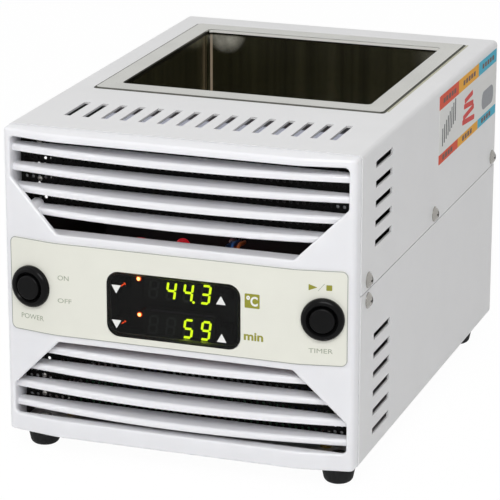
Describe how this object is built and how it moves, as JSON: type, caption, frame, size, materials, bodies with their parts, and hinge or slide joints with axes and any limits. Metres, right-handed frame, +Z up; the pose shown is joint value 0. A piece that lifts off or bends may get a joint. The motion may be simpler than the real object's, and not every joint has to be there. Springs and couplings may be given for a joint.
{
  "type": "dry bath incubator",
  "caption": "Bench dry bath incubator: sheet case with louvred grilles, angled control band with display and push switches, and a heated well open at the top.",
  "frame": {"origin": "on the bench surface, under the middle of the outer bounds", "axes": "+X towards the instrument's right side seen from the front, +Y from the control panel to the back, +Z up"},
  "size_m": [0.1894, 0.273, 0.1719],
  "materials": {
    "black_plastic": "matte",
    "board_green": "satin",
    "brass": "turned",
    "button_black": "gloss",
    "capacitor_sleeve": "satin",
    "coil_tape": "satin",
    "core_steel": "lacquered",
    "display_black": "gloss",
    "foot_rubber": "matte",
    "galvanised": "dull",
    "guard_black": "matte",
    "heater_film": "satin",
    "insulation": "fibrous",
    "key_black": "satin",
    "label_film": "matte",
    "lead_blue": "satin",
    "lead_grey": "satin",
    "lead_orange": "satin",
    "lead_red": "satin",
    "lead_sleeve": "satin",
    "led_orange": "clear",
    "liner_steel": "bright",
    "nickel": "bright",
    "plate_aluminium": "milled",
    "rim_steel": "brushed",
    "smoked_window": "clear",
    "switch_black": "gloss",
    "terminal_grey": "matte",
    "white_moulding": "gloss",
    "white_paint": "satin"
  },
  "bodies": {
    "instrument": {"base_chassis": "white_paint", "board_standoffs": "brass", "case_screws": "nickel", "control_label": "label_film", "digit_module_lower": "display_black", "digit_module_upper": "display_black", "display_board": "board_green", "display_window": "smoked_window", "film_heater": "heater_film", "filter_capacitors": "capacitor_sleeve", "floor_insulation": "insulation", "foot_front_left": "foot_rubber", "foot_front_right": "foot_rubber", "foot_rear_left": "foot_rubber", "foot_rear_right": "foot_rubber", "foot_screws": "nickel", "front_bezel": "white_moulding", "fuse_drawer": "black_plastic", "guard_screws": "nickel", "heater_leads": "lead_sleeve", "heater_plate": "plate_aluminium", "indicator_leds": "led_orange", "inlet_pins": "nickel", "key_switches": "black_plastic", "lower_guard": "guard_black", "mains_lead": "lead_grey", "power_board": "board_green", "power_inlet": "black_plastic", "power_leads": "lead_red", "power_switch_body": "switch_black", "power_switch_nut": "nickel", "rear_panel": "white_paint", "relay_heat_sink": "plate_aluminium", "sensor_lead_blue": "lead_blue", "sensor_lead_orange": "lead_orange", "small_screws": "nickel", "switching_relay": "black_plastic", "temperature_sensor": "rim_steel", "terminal_block": "terminal_grey", "thermal_cutout": "black_plastic", "timer_leads": "lead_red", "timer_switch_body": "switch_black", "timer_switch_nut": "nickel", "top_cover": "white_paint", "transformer_coil": "coil_tape", "transformer_core": "core_steel", "upper_guard": "guard_black", "well_casing": "galvanised", "well_insulation": "insulation", "well_liner": "liner_steel", "well_posts": "galvanised", "well_rim": "rim_steel"},
    "power_button": {"power_switch_button": "button_black"},
    "timer_button": {"timer_switch_button": "button_black"},
    "temperature_down": {"temperature_down_key": "key_black"},
    "temperature_up": {"temperature_up_key": "key_black"},
    "time_down": {"time_down_key": "key_black"},
    "time_up": {"time_up_key": "key_black"}
  },
  "joints": [
    {"name": "power_press", "type": "slide", "parent": "instrument", "child": "power_button", "axis": [0.1822, 0.9833, 0], "range_m": [0, 0.0025], "stiffness_N_per_m": 1200},
    {"name": "timer_press", "type": "slide", "parent": "instrument", "child": "timer_button", "axis": [-0.1822, 0.9833, 0], "range_m": [0, 0.0025], "stiffness_N_per_m": 1200},
    {"name": "temperature_down_press", "type": "slide", "parent": "instrument", "child": "temperature_down", "axis": [0, 1, 0], "range_m": [0, 0.0005], "stiffness_N_per_m": 2000},
    {"name": "temperature_up_press", "type": "slide", "parent": "instrument", "child": "temperature_up", "axis": [0, 1, 0], "range_m": [0, 0.0005], "stiffness_N_per_m": 2000},
    {"name": "time_down_press", "type": "slide", "parent": "instrument", "child": "time_down", "axis": [0, 1, 0], "range_m": [0, 0.0005], "stiffness_N_per_m": 2000},
    {"name": "time_up_press", "type": "slide", "parent": "instrument", "child": "time_up", "axis": [0, 1, 0], "range_m": [0, 0.0005], "stiffness_N_per_m": 2000}
  ]
}
